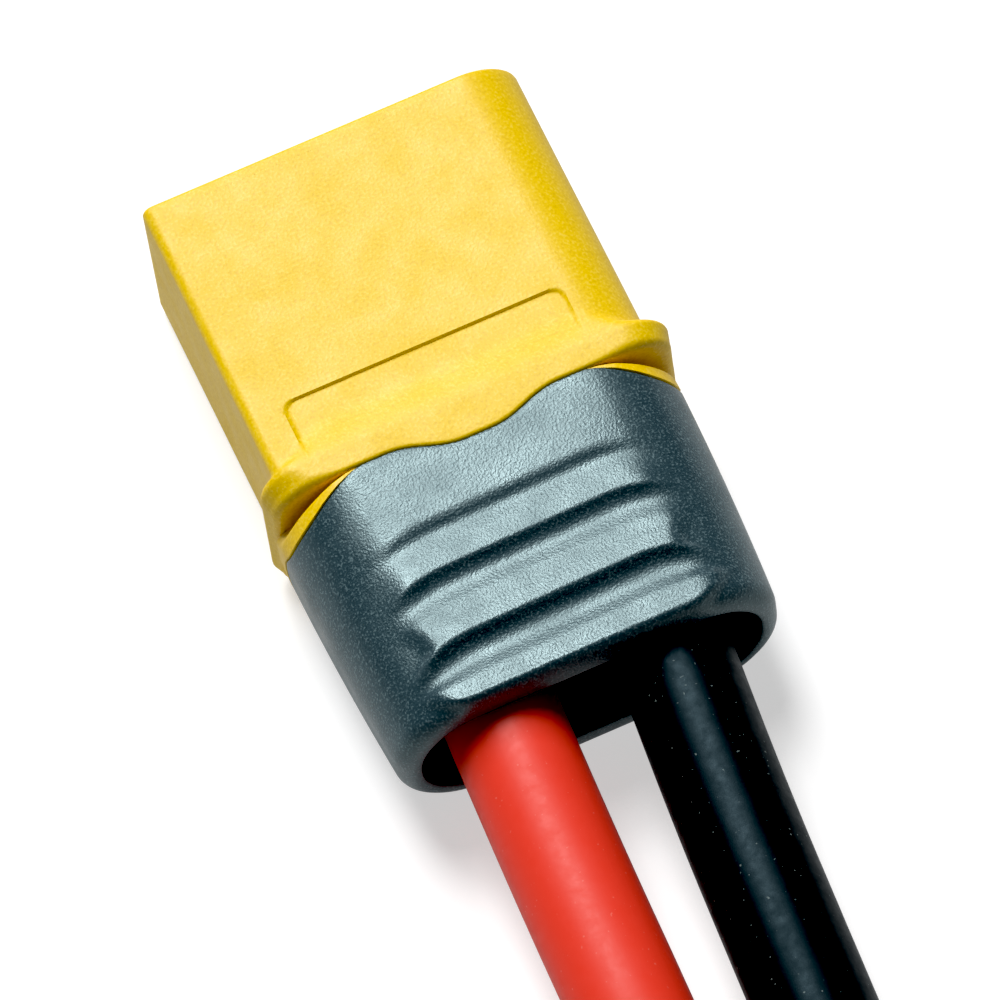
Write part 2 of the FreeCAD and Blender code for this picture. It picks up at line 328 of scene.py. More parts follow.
@dataclass
class RingSkin:
    """A closed skin made of rings, woven from one of Blender's round primitives.

    Attributes:
        name: Name of the piece.
        rings: Points of each ring as X, back and height.
    """

    name: str
    rings: list[np.ndarray] = field(default_factory=list)

    def add(self, x: Number, back: Number, height: Number) -> None:
        """Add one ring from its X, its distance behind the mouth and its height."""
        self.rings.append(np.stack(np.broadcast_arrays(x, back, height), axis=1).astype(float))

    def add_scaled(self, share: float) -> None:
        """Add a copy of the last ring that is shrunk about the connector's axis."""
        self.rings.append(self.rings[-1] * np.array([share, 1.0, share]))

    @staticmethod
    def placed(points: np.ndarray) -> np.ndarray:
        """Turn X, back and height in millimetres into the frame's metres."""
        return np.stack([points[:, 0], MOUTH_Y - points[:, 1], MIDDLE_Z + points[:, 2]], axis=1) * MM

    def weave(self, how: Weave, smooth_deg: float = 38.0) -> bpy.types.Object:
        """Make the piece: a sphere or a torus whose points move to the rings' places.

        Args:
            how: Whether the skin ends in poles or closes on itself.
            smooth_deg: Edges that turn by less than this are shaded smooth.

        Returns:
            The finished mesh object.
        """
        count = len(self.rings[0])
        rows = len(self.rings)
        bpy.ops.object.select_all(action="DESELECT")
        if how is Weave.CAPPED:
            bpy.ops.mesh.primitive_uv_sphere_add(segments=count, ring_count=rows + 1, radius=1.0)
        else:
            bpy.ops.mesh.primitive_torus_add(
                major_segments=count, minor_segments=rows, major_radius=1.0, minor_radius=0.25
            )
        piece = bpy.context.object
        piece.name = self.name
        piece.data.name = self.name
        start = np.zeros(len(piece.data.vertices) * 3)
        piece.data.vertices.foreach_get("co", start)
        start = start.reshape(-1, 3)
        column = np.rint(np.arctan2(start[:, 1], start[:, 0]) / (2 * math.pi) * count).astype(int) % count
        reach = np.hypot(start[:, 0], start[:, 1])
        stack = np.stack(self.rings)
        if how is Weave.CAPPED:
            row = np.rint(np.arctan2(reach, start[:, 2]) / math.pi * (rows + 1)).astype(int)
            places = stack[np.clip(row - 1, 0, rows - 1), column]
            places[row == 0] = stack[0].mean(axis=0)
            places[row == rows + 1] = stack[-1].mean(axis=0)
        else:
            row = np.rint(np.arctan2(start[:, 2], reach - 1.0) / (2 * math.pi) * rows).astype(int) % rows
            places = stack[row, column]
        piece.data.vertices.foreach_set("co", self.placed(places).astype(np.float32).ravel())
        piece.data.update()
        bpy.ops.object.mode_set(mode="EDIT")
        bpy.ops.mesh.select_all(action="SELECT")
        bpy.ops.mesh.remove_doubles(threshold=WELD_DISTANCE * MM)
        bpy.ops.mesh.normals_make_consistent(inside=False)
        bpy.ops.object.mode_set(mode="OBJECT")
        bpy.ops.object.shade_smooth_by_angle(angle=math.radians(smooth_deg))
        return piece


@dataclass(frozen=True)
class PartingLine:
    """The line where housing and boot meet, as distance behind the mouth's rim.

    Attributes:
        rear: Rear edge of the flange.
        wave: Half of the wave in the middle, as X and extra distance.
        sides: Cut back at the narrow sides, as X and extra distance.
        arch: Most that the cut back may be at the boot's two tongues, as height and extra distance.
        gap: Space between the two mouldings.
    """

    rear: float = 14.08
    wave: Table = ((0, 0.74), (1.1, 0.74), (3.1, 0.0), (12, 0.0))
    sides: Table = ((0, 0.0), (4.95, 0.0), (7.3, 1.08), (8.0, 1.27), (12, 1.27))
    arch: Table = ((0, 0.75), (0.3, 0.75), (1.9, 1.35), (5, 2.5))
    gap: float = 0.03

    def flange_rear(self, x: np.ndarray) -> np.ndarray:
        """Where the flange ends, its wave included."""
        mirrored = [(-a, b) for a, b in self.wave[:0:-1]] + list(self.wave)
        return self.rear + eased(x, mirrored, width=1.25)

    def cut_back(self, x: np.ndarray, z: np.ndarray) -> np.ndarray:
        """How far the lips at the sides reach behind the flange."""
        sides = eased(np.abs(x), self.sides, width=0.7)
        return lower_of(sides, eased(np.abs(z), self.arch, width=0.6), ease=0.2)

    def place(self, x: np.ndarray, z: np.ndarray) -> np.ndarray:
        """The whole parting line."""
        return self.flange_rear(x) + self.cut_back(x, z)


@dataclass(frozen=True)
class MouldedNylon:
    """Glass-filled nylon from a spark-eroded mould: satin, its fine pebbled grain glinting in the light, with
    painted highlights on the grain's tops and painted shade in its pits.

    Attributes:
        name: Name of the material.
        colour: Body colour.
        painted_glint_colour: Painted highlight colour on the grains' tops, a glint painted into the body
            colour.
        painted_pit_shade: Painted shade colour in the pits between them.
        grain_mm: Distance between grains; about 0.1 in the mould, drawn as coarse as the photograph shows it.
        relief_mm: Height of the grain.
        roughness: Roughness between the glints.
        painted_glint_share: How much of the painted glint colour the grains' tops take.
        gloss: Specular level of the skin.
        glint: Tint of its reflections.
    """

    name: str
    colour: str
    painted_glint_colour: str
    painted_pit_shade: str
    grain_mm: float
    relief_mm: float
    roughness: float
    painted_glint_share: float
    gloss: float
    glint: str

    def build(self) -> bpy.types.Material:
        """Make the material."""
        material, tree, place = new_material(self.name)
        grain = noise(tree, place, size_mm=self.grain_mm, detail=1.0)
        clouds = noise(tree, place, size_mm=1.6, detail=3.0)
        # Painted highlight: the grains' tops take a lighter colour, a glint painted into the body colour.
        painted_glint_mask = mapped(tree, grain, start=(0.55, 0.7), end=(0.0, self.painted_glint_share))
        # Painted shade: the pits between the grains take a darker colour, shade painted into the body colour.
        painted_pit_shade_mask = mapped(tree, grain, start=(0.46, 0.3), end=(0.0, 0.55))
        body = mixed(tree, painted_pit_shade_mask, linear(self.colour), linear(self.painted_pit_shade))
        body = mixed(tree, painted_glint_mask, body, linear(self.painted_glint_colour))
        sheen = mapped(tree, clouds, PATTERN_SPAN, (self.roughness - 0.05, self.roughness + 0.06))
        skin = {
            "Base Color": body,
            "Roughness": sheen,
            "IOR": 1.53,
            "Specular IOR Level": self.gloss,
            "Specular Tint": linear(self.glint),
        }
        close_tree(tree, grain, self.relief_mm, skin)
        return material


@dataclass(frozen=True)
class Silicone:
    """Extruded silicone rubber: soft satin with a faint bloom of talc and stray dust.

    Attributes:
        name: Name of the material.
        colour: Body colour.
        bloom: Colour of the talc and dust.
        roughness: Roughness of the skin.
        dust: Share of the bloom's colour in a speck of dust.
        gloss: Specular level of the skin.
        glint: Tint of its reflections.
    """

    name: str
    colour: str
    bloom: str
    roughness: float
    dust: float
    gloss: float
    glint: str

    def build(self) -> bpy.types.Material:
        """Make the material."""
        material, tree, place = new_material(self.name)
        # The ripple and the specks are several times coarser than on the wire, so that they show.
        ripple = noise(tree, place, size_mm=0.5, detail=4.0, roughness=0.6)
        specks = noise(tree, place, size_mm=0.13, detail=0.0)
        dust = mapped(tree, specks, start=(0.8, 0.86), end=(0.0, self.dust))
        body = mixed(tree, dust, linear(self.colour), linear(self.bloom))
        sheen = mapped(tree, ripple, PATTERN_SPAN, (self.roughness - 0.05, self.roughness + 0.08))
        skin = {
            "Base Color": body,
            "Roughness": sheen,
            "IOR": 1.41,
            "Specular IOR Level": self.gloss,
            "Specular Tint": linear(self.glint),
        }
        close_tree(tree, ripple, relief_mm=0.006, inputs=skin)
        return material


@dataclass(frozen=True)
class TurnedMetal:
    """Plated or solder-wetted metal with fine marks round its axis and small clouds in its gloss.

    Attributes:
        name: Name of the material.
        colour: Colour of the metal.
        tarnish: Colour of its duller clouds.
        roughness: Mean roughness.
        mark_mm: Distance between turning marks along Y; 0.02 on the lathe, drawn coarser to show.
        relief_mm: Height of the marks.
    """

    name: str
    colour: str
    tarnish: str
    roughness: float
    mark_mm: float
    relief_mm: float

    def build(self) -> bpy.types.Material:
        """Make the material."""
        material, tree, place = new_material(self.name)
        # The marks are stretched across Y, so that they run round the axis.
        stretch = (120.0, 1 / (self.mark_mm * MM), 120.0)
        along = add_node(tree, "ShaderNodeMapping", {"Vector": place, "Scale": stretch}).outputs["Vector"]
        marks = add_node(tree, "ShaderNodeTexNoise", {"Vector": along, "Scale": 1.0, "Detail": 3.0})
        clouds = noise(tree, place, size_mm=0.9, detail=4.0)
        body = mixed(tree, clouds, linear(self.colour), linear(self.tarnish))
        sheen = mapped(tree, clouds, PATTERN_SPAN, (self.roughness - 0.05, self.roughness + 0.07))
        skin = {"Base Color": body, "Metallic": 1.0, "Roughness": sheen}
        close_tree(tree, marks.outputs["Fac"], self.relief_mm, skin)
        return material


# Yellow glass-filled nylon: warm and satin, with pale glints where the grain's tops catch the lamps, partly a
# painted highlight on the tops, and painted shade in its pits.
YELLOW_NYLON = MouldedNylon(
    name="glass_filled_nylon_yellow",
    colour="#EEC70A",
    painted_glint_colour="#FFE876",
    painted_pit_shade="#DDB200",
    grain_mm=0.12,
    relief_mm=0.01,
    roughness=0.5,
    painted_glint_share=0.3,
    gloss=0.5,
    glint="#FFFFFF",
)
# Slate grey nylon: a deeper grain and more gloss, so it sparkles cool over a dark body, the sparkle partly a
# painted highlight on the grain's tops, with painted shade in its pits.
GREY_NYLON = MouldedNylon(
    name="moulded_nylon_slate_grey",
    colour="#2E4149",
    painted_glint_colour="#7D9499",
    painted_pit_shade="#1E2D35",
    grain_mm=0.09,
    relief_mm=0.019,
    roughness=0.39,
    painted_glint_share=0.45,
    gloss=1.0,
    glint="#E2FDFF",
)
# Red silicone: soft and even, with a broad glare that has no edge.
RED_SILICONE = Silicone(
    name="extruded_silicone_red",
    colour="#E84434",
    bloom="#F0A090",
    roughness=0.5,
    dust=0.25,
    gloss=0.5,
    glint="#FFFFFF",
)
# Black silicone: almost no body colour, so it is seen by its cool glare and a little dust.
BLACK_SILICONE = Silicone(
    name="extruded_silicone_black",
    colour="#020304",
    bloom="#8F9A96",
    roughness=0.48,
    dust=0.4,
    gloss=0.4,
    glint="#C9EFFF",
)
# Gold plate over turned brass: a warm mirror, broken by fine rings round the pin.
GOLD_PLATE = TurnedMetal(
    name="gold_plated_turned_brass",
    colour="#F0C35A",
    tarnish="#D9A23C",
    roughness=0.2,
    mark_mm=0.06,
    relief_mm=0.002,
)
# Tin solder: a grey, wetted surface with slow waves where it set.
SOLDER = TurnedMetal(
    name="tin_solder", colour="#C9CBCC", tarnish="#9FA2A4", roughness=0.34, mark_mm=0.8, relief_mm=0.02
)
# Tinned strand: bright tin with a faint warm cast from the copper under it.
TINNED_STRAND = TurnedMetal(
    name="tinned_copper_strand",
    colour="#D4D3CF",
    tarnish="#B3A89A",
    roughness=0.3,
    mark_mm=0.3,
    relief_mm=0.008,
)


@dataclass
class Housing:
    """The yellow moulding: shroud with its keyed mouth, flange, parting wave, flared lips and inner block.

    Attributes:
        shroud, mouth, block: Outlines of the shroud, its mouth and the inner block.
        flange_front, flange_back: The flange's outline behind its front face and ahead of its rear edge.
        lip: Outline of the lips, flush with the boot.
        lead_in: Width and depth of the bevel round the mouth.
        rim_round: Radius of the shroud's front edge.
        flange_start: Where the flange's front face stands at the narrow ends.
        flange_run: How far ahead of that its gentle rise starts on the wide faces.
        edge_round, end_round: Radius of its rear edge without a lip behind it, and with a long one.
        scoop_depth: Depth of the scoops between flange and lips.
        scoop_floor: Their floor, as share of the way to the flange and share of the depth.
        step_in: How far the lips' rear edge is tucked in.
        plate_left, plate_right, plate_front: Edges of the recessed plate.
        plate_corner, plate_depth: Radius of its corners, and its depth.
    """

    columns: Columns = field(default_factory=Columns)
    parting: PartingLine = field(default_factory=PartingLine)
    shroud: Outline = Outline(8.0, 4.075, 0.45, 2.45)
    mouth: Outline = Outline(6.9, 2.975, 0.45, 1.35)
    flange_front: Outline = Outline(8.68, 4.225, 1.7, 1.9)
    flange_back: Outline = Outline(8.53, 4.2, 2.0, 1.9)
    lip: Outline = Outline(8.45, 4.2, 3.5, 3.5, -0.15)
    block: Outline = Outline(7.07, 2.82, 1.95, 1.95)
    mouth_depth: float = 10.6
    lead_in: float = 0.27
    rim_round: float = 0.13
    flange_start: float = 12.95
    flange_run: float = 1.6
    edge_round: float = 0.16
    end_round: float = 0.38
    scoop_depth: float = 1.0
    scoop_floor: Table = ((0.0, 0.0), (0.55, 0.03), (0.86, 0.8), (1.0, 1.0))
    step_in: float = 0.11
    block_end: float = 19.0
    plate_left: float = -6.425
    plate_right: float = 5.425
    plate_front: float = 10.3
    plate_corner: float = 0.5
    plate_depth: float = 0.12

    def plate_sink(self, x: np.ndarray, back: Number) -> np.ndarray:
        """Depth of the recessed plate at points of the upper face.

        Args:
            x: X of the points.
            back: Their distance behind the mouth.

        Returns:
            How far each point sinks.
        """
        middle = (self.plate_left + self.plate_right) / 2
        half = (self.plate_right - self.plate_left) / 2 - self.plate_corner
        over_x = np.abs(x - middle) - half
        over_y = self.plate_front + self.plate_corner - np.asarray(back)
        corner = np.hypot(np.maximum(over_x, 0), np.maximum(over_y, 0))
        edge = corner + np.minimum(np.maximum(over_x, over_y), 0) - self.plate_corner
        return self.plate_depth * (1 - step(edge, start=-0.07, end=0.05))

    def mouth_rings(self, skin: RingSkin) -> None:
        """Rings of the mouth, from the middle of its floor to its rim."""
        x, z = self.columns.ring(self.mouth)
        for share in (0.25, 0.6, 0.9, 0.985):
            skin.add(x * share, self.mouth_depth, z * share)
        for back in (self.mouth_depth, 10.52, 8.0, 5.0, 2.0, 0.5, self.lead_in):
            skin.add(x, back, z)
        soft = 0.03
        for inset, back in ((soft - self.lead_in, soft), (-self.lead_in - soft, 0.0)):
            x, z = self.columns.ring(self.mouth, inset)
            skin.add(x, back, z)

    def shroud_rings(self, skin: RingSkin) -> None:
        """Rings of the shroud's outside, from the rim to the foot of the flange."""
        radius = self.rim_round
        for turn in (0, 30, 60, 90):
            angle = math.radians(turn)
            x, z = self.columns.ring(self.shroud, radius * (1 - math.sin(angle)))
            skin.add(x, radius * (1 - math.cos(angle)), z)
        x, z = self.columns.ring(self.shroud)
        # Close rings over the plate's front edge, and a last one short of the flange's foot.
        close_from, close_to, short, trim = 9.9, 10.95, 0.2, 0.1
        plain = np.linspace(radius, close_from, 26)[1:]
        fine = np.linspace(close_from, close_to, 22)[1:]
        end = self.flange_start - short - self.gentle(x) * (self.flange_run - trim)
        rear = [close_to + (end - close_to) * share for share in np.linspace(0, 1, 12)[1:]]
        for back in (*plain, *fine, *rear):
            sink = np.where(self.columns.upper, self.plate_sink(x, back), 0)
            skin.add(x, back, z - sink)

    def gentle(self, x: np.ndarray) -> np.ndarray:
        """Where the flange rises gently, 1 on the wide faces and 0 at the narrow ends."""
        return 1 - step(np.abs(x), start=5.2, end=8.1)

    def flange_round(self, length: np.ndarray) -> np.ndarray:
        """Radius of the flange's rear edge, larger where the lips reach further behind it."""
        return self.edge_round + (self.end_round - self.edge_round) * step(length, start=0.1, end=1.0)

    def flange_rings(self, skin: RingSkin) -> None:
        """Rings of the flange: its front face, its edge and the rounding at its rear."""
        start = self.flange_start
        steps = [(-0.15, 0.01), (-0.1, 0.035), (-0.05, 0.09), (-0.015, 0.19), (0.0, 0.32), (0.005, 0.5)]
        steps += [(0.01, 0.68), (0.03, 0.82), (0.075, 0.93), (0.14, 0.985), (0.22, 1.0)]
        depth = steps[-1][0]
        gentle = self.gentle(self.columns.ring(self.shroud)[0])
        for offset, share in steps:
            x, z = self.columns.ring(self.shroud.towards(self.flange_front, share))
            # The gentle rise is a smooth step; this is how far along one has this share.
            along = 0.5 - math.sin(math.asin(1 - 2 * share) / 3)
            slow = (self.flange_run + depth) * along - self.flange_run
            back = start + offset * (1 - gentle) + slow * gentle
            sink = np.where(self.columns.upper, self.plate_sink(x, back), 0) * (1 - share)
            skin.add(x, back, z - sink)
        lip_x, lip_z = self.columns.ring(self.lip)
        rear = self.parting.flange_rear(lip_x)
        radius = self.flange_round(self.parting.cut_back(lip_x, lip_z))
        begin = start + depth
        for share in (0.2, 0.4, 0.6, 0.8, 1.0):
            x, z = self.columns.ring(self.flange_front.towards(self.flange_back, share))
            skin.add(x, begin + (rear - radius - begin) * share, z)
        for turn in (18, 36, 54, 72, 90):
            angle = math.radians(turn)
            x, z = self.columns.ring(self.flange_back, radius * (1 - math.cos(angle)))
            skin.add(x, rear - radius * (1 - math.sin(angle)), z)

    def lip_rings(self, skin: RingSkin) -> None:
        """Rings of the scoops behind the flange and of the lips that flare up to the boot."""
        lip_x, lip_z = self.columns.ring(self.lip)
        line = self.parting.place(lip_x, lip_z)
        length = self.parting.cut_back(lip_x, lip_z)
        tuck = self.flange_round(length) * (1 - step(length, start=0.0, end=0.5))
        rear = line - length
        last = skin.rings[-1]
        x, z = self.columns.ring(self.lip, tuck + self.scoop(1.0, length, lip_x, lip_z))
        for share in (0.3, 0.6, 0.85):
            skin.add(last[:, 0] * (1 - share) + x * share, rear, last[:, 2] * (1 - share) + z * share)
        for share in np.linspace(1, 0.04, 24):
            x, z = self.columns.ring(self.lip, tuck + self.scoop(share, length, lip_x, lip_z))
            skin.add(x, line - length * share, z)
        for ahead, depth in ((0.03, 0.02), (0.01, 0.06), (0.0, self.step_in)):
            x, z = self.columns.ring(self.lip, tuck + depth)
            skin.add(x, line - np.minimum(ahead, length), z)

    def scoop(self, share: float, length: np.ndarray, x: np.ndarray, height: np.ndarray) -> np.ndarray:
        """Depth below the lip's outline.

        Args:
            share: Share of the way from the parting line to the flange.
            length: Distance from the parting line to the flange.
            x: X of the points.
            height: Height above or below the connector's middle plane.

        Returns:
            The depth, deepest behind the flange and shallower where the lip is short or runs down the side.
        """
        height = np.abs(height)
        right = 0.2 + 0.8 * step(height, start=0.2, end=2.0)
        fade = np.where(x > 0, right, step(height, start=0.6, end=2.8))
        floor = eased(share, self.scoop_floor, width=0.2)
        return self.scoop_depth * step(length, start=0.0, end=0.9) * fade * floor

    def block_rings(self, skin: RingSkin) -> None:
        """Rings of the rear step and of the inner block that carries the boot."""
        line = self.parting.place(*self.columns.ring(self.lip))
        soft, radius = 0.04, 0.2
        for share in (0.5, 0.96, 1.0):
            x, z = self.columns.ring(self.lip.inset(self.step_in).towards(self.block, share))
            skin.add(x, line + (soft if share == 1.0 else 0.0), z)
        x, z = self.columns.ring(self.block)
        for share in (0.5, 1.0):
            skin.add(x, line + (self.block_end - radius - line) * share, z)
        for turn in (45, 90):
            angle = math.radians(turn)
            x, z = self.columns.ring(self.block, radius * (1 - math.cos(angle)))
            skin.add(x, self.block_end - radius * (1 - math.sin(angle)), z)
        for share in (0.9, 0.7, 0.5):
            skin.add_scaled(share)

    def build(self) -> bpy.types.Object:
        """Make the moulding.

        Returns:
            The piece that stands for the CAD housing.
        """
        skin = RingSkin("housing_shell")
        self.mouth_rings(skin)
        self.shroud_rings(skin)
        self.flange_rings(skin)
        self.lip_rings(skin)
        self.block_rings(skin)
        piece = skin.weave(Weave.CAPPED)
        piece.data.materials.append(YELLOW_NYLON.build())
        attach(piece, "plug")
        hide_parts("housing")
        return piece


@dataclass
class Boot:
    """The grey sleeve over the soldered joints, with rising grip bars on both wide faces.

    Attributes:
        rear: Where its rear rim is.
        shift: X of its middle.
        corner: Radius of its corners at the front.
        rim: Width of the flat rim round the opening, its small lead-in included.
        inner_front, opening: The hollow at its front and at its rear.
        profile: Height of a wide face along the connector's middle, by distance behind the mouth.
        bar_reach: Half width of the bars, by distance behind the mouth.
        bar_end: Half the length over which a bar fades out at its ends, by distance behind the mouth.
        lean: How much further back the bars lie for each millimetre towards -X.
        bow, bow_start: How fast the grooves bend back near their ends, and where they begin to.
        bars_from: Distance behind the mouth from which the rings are close enough for the bars.
    """

    columns: Columns = field(default_factory=Columns)
    parting: PartingLine = field(default_factory=PartingLine)
    rear: float = 25.35
    shift: float = -0.15
    corner: float = 3.5
    rim: float = 0.18
    lead_in: float = 0.1
    inner_front: Outline = Outline(7.6, 3.35, 2.15, 2.15, -0.15)
    opening: Outline = Outline(7.2, 2.6, 2.45, 2.45, -0.15)
    profile: Table = (
        (13.0, 4.2), (16.5, 4.2), (17.3, 4.2), (17.5, 4.16), (17.75, 4.06), (17.9, 4.03), (18.05, 4.03),
        (18.5, 4.08), (19.1, 4.13), (19.42, 4.15), (19.52, 4.12), (19.65, 3.99), (19.8, 3.9), (20.0, 3.83),
        (20.2, 3.81), (20.4, 3.83), (20.65, 3.88), (20.9, 3.935), (21.1, 3.955), (21.4, 3.965), (21.7, 4.01),
        (22.3, 4.08), (22.4, 4.05), (22.5, 3.96), (22.65, 3.79), (22.85, 3.67), (23.05, 3.62), (23.25, 3.61),
        (23.45, 3.63), (23.65, 3.68), (24.0, 3.78), (24.2, 3.81), (24.65, 3.82), (24.85, 3.86), (26.0, 3.86),
    )
    bar_reach: Table = (
        (13.0, 5.2), (18.0, 5.4), (19.0, 5.6), (20.0, 5.7), (20.8, 5.92), (21.4, 5.8), (22.0, 5.5),
        (22.5, 5.4), (22.9, 5.8), (23.2, 6.05), (23.6, 6.24), (24.1, 6.26), (24.5, 6.05),
        (24.8, 5.65), (25.1, 5.2), (26.0, 5.0),
    )
    bar_end: Table = (
        (13.0, 1.9), (17.4, 1.7), (18.0, 1.2), (19.4, 0.9), (20.4, 0.7), (21.4, 0.55),
        (22.5, 0.45), (26.0, 0.4),
    )
    lean: float = 0.02
    bow: float = 0.085
    bow_start: float = 3.4
    bars_from: float = 17.1

    def base(self, back: Number) -> Number:
        """Half height of the plain sleeve, without its bars."""
        height, fall, front, length = 4.2, 0.75, 14.05, 11.3
        return height - fall * (back - front) / length

    def outline(self, back: Number) -> Outline:
        """The plain sleeve's outline at a distance behind the mouth."""
        front, taper_from = 14.0, 15.0
        taper = 0.0034 * np.maximum(back - taper_from, 0.0) ** 2
        half_width = 8.45 - 0.004 * (back - front) - taper
        corner = self.corner - 0.035 * (back - front)
        return Outline(half_width, self.base(back), corner, corner, self.shift)

    def front(self) -> tuple[np.ndarray, np.ndarray]:
        """X of each point of the front edge, and its distance behind the mouth."""
        x, z = self.columns.ring(self.outline(15.0))
        return x, self.parting.place(x, z) + self.parting.gap

    def skin_points(self, back: np.ndarray) -> tuple[np.ndarray, np.ndarray]:
        """Points of one outer ring, bars included.

        Args:
            back: Distance behind the mouth of each point.

        Returns:
            X and height of each point.
        """
        x, z = self.columns.ring(self.outline(back))
        across = x - self.shift
        # The last bar is straighter than the others.
        straight = 1 - 1.25 * step(back, start=23.3, end=24.7)
        bow = self.bow * np.maximum(np.abs(across) - self.bow_start, 0) ** 2 * straight
        rise = eased(back + self.lean * across - bow, self.profile, width=0.18) - self.base(back)
        reach = eased(back, self.bar_reach, width=0.2)
        end = np.interp(back, *np.array(self.bar_end).T)
        share = 1 - step(np.abs(across), reach - end, reach + end)
        lift = np.where(self.columns.wide, rise * share, 0.0)
        return x, z + np.sign(z) * lift

    def outer_rings(self, skin: RingSkin) -> None:
        """Rings of the outside, from the front edge to the rim at the rear."""
        front_x, front = self.front()
        x, z = self.skin_points(front)
        inner_x, inner_z = self.columns.ring(self.inner_front)
        for behind, share in ((0.0, 0.1), (0.03, 0.03)):
            skin.add(x * (1 - share) + inner_x * share, front + behind, z * (1 - share) + inner_z * share)
        begin = front + 0.1
        for share in np.linspace(0, 1, 16):
            skin.add(*self.spread(begin + (self.bars_from - begin) * share))
        # The rear is rounded over a length that is greater at the narrow ends.
        length = 0.45 + 0.35 * step(np.abs(front_x - self.shift), start=4.2, end=7.4)
        end = self.rear - length
        for share in np.linspace(0, 1, 110)[1:]:
            skin.add(*self.spread(self.bars_from + (end - self.bars_from) * share))
        rim_x, rim_z = self.columns.ring(self.opening, -self.rim)
        for share in np.linspace(0, 1, 12)[1:]:
            turn = math.pi / 2 * share
            back = self.rear - length * (1 - math.sin(turn))
            x, z = self.skin_points(back)
            inwards = 1 - math.cos(turn)
            skin.add(x + (rim_x - x) * inwards, back, z + (rim_z - z) * inwards)

    def spread(self, back: np.ndarray) -> tuple[np.ndarray, np.ndarray, np.ndarray]:
        """X, back and height of one outer ring."""
        x, z = self.skin_points(back)
        return x, back, z

    def inner_rings(self, skin: RingSkin) -> None:
        """Rings of the rim, the opening and the hollow, from the rear back to the front edge."""
        for degrees in (0, 30, 60, 90):
            turn = math.radians(degrees)
            x, z = self.columns.ring(self.opening, -self.lead_in * (1 - math.sin(turn)))
            skin.add(x, self.rear - self.lead_in * (1 - math.cos(turn)), z)
        front = self.front()[1]
        start = self.rear - self.lead_in
        for share in (0.08, 0.25, 0.5, 0.75, 0.97, 1.0):
            x, z = self.columns.ring(self.opening.towards(self.inner_front, share))
            skin.add(x, start + (front - start) * share, z)

    def build(self) -> bpy.types.Object:
        """Make the sleeve.

        Returns:
            The piece that stands for the CAD boot.
        """
        skin = RingSkin("boot_shell")
        self.outer_rings(skin)
        self.inner_rings(skin)
        piece = skin.weave(Weave.LOOPED)
        piece.data.materials.append(GREY_NYLON.build())
        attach(piece, "boot")
        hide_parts("boot")
        return piece


